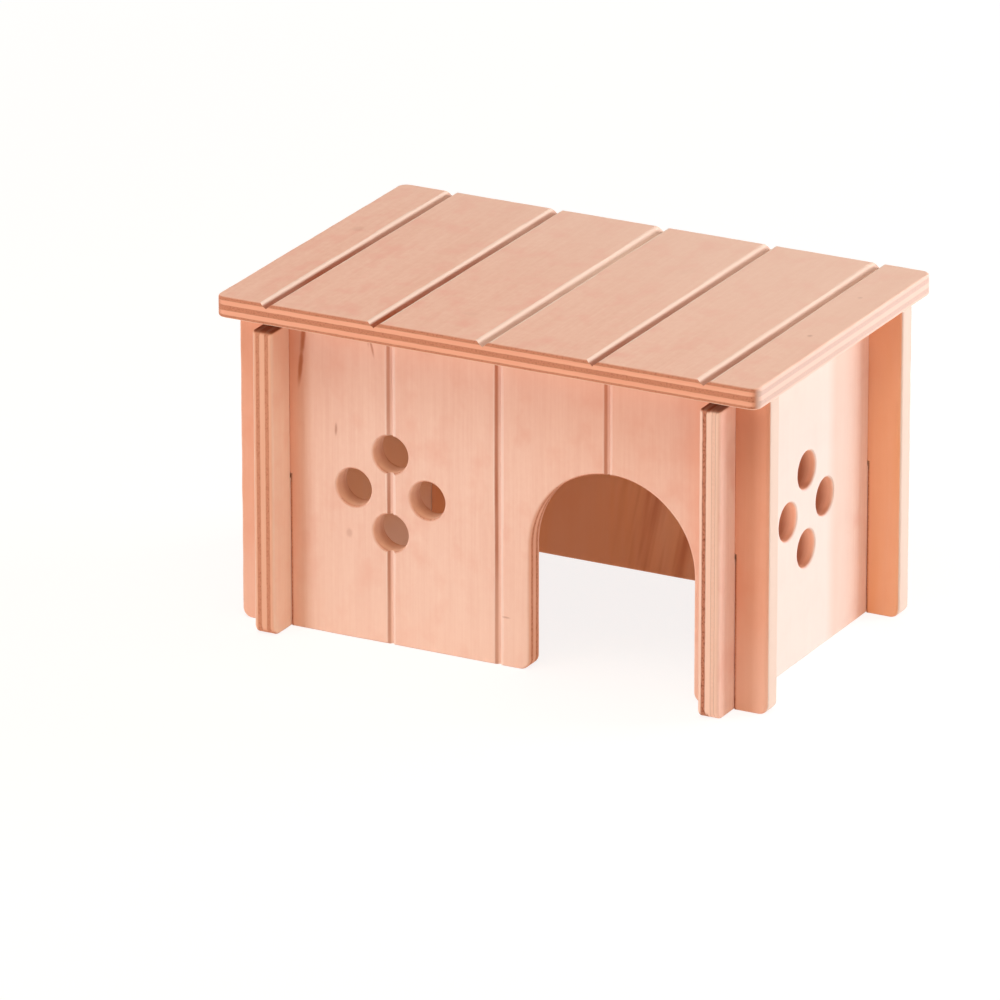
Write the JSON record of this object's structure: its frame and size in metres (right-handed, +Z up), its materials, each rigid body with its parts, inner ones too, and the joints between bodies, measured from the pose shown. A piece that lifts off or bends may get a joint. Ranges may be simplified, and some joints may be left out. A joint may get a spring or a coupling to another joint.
{
  "type": "wooden hamster house",
  "caption": "Free-standing plywood hamster house with cross-lapped walls, an arched doorway, round vent holes and a grooved roof that lifts off.",
  "frame": {"origin": "middle of the house on the floor it stands on, which is the level of the undersides of the walls", "axes": "+X to the right along the front as seen from outside, -Y out of the doorway, +Z up"},
  "size_m": [0.145, 0.095, 0.085],
  "materials": {
    "wall_plywood": "bare sanded light plywood",
    "roof_plywood": "bare sanded light plywood with routed V-grooves",
    "batten_plywood": "bare sawn light plywood"
  },
  "bodies": {
    "walls": {"front_wall": "wall_plywood", "rear_wall": "wall_plywood", "left_side_wall": "wall_plywood", "right_side_wall": "wall_plywood"},
    "roof": {"roof_panel": "roof_plywood", "roof_batten_front": "batten_plywood", "roof_batten_rear": "batten_plywood"}
  },
  "joints": [
    {"name": "roof_lift", "type": "slide", "parent": "walls", "child": "roof", "axis": [0, 0, 1], "range_m": [0, 0.045]}
  ]
}
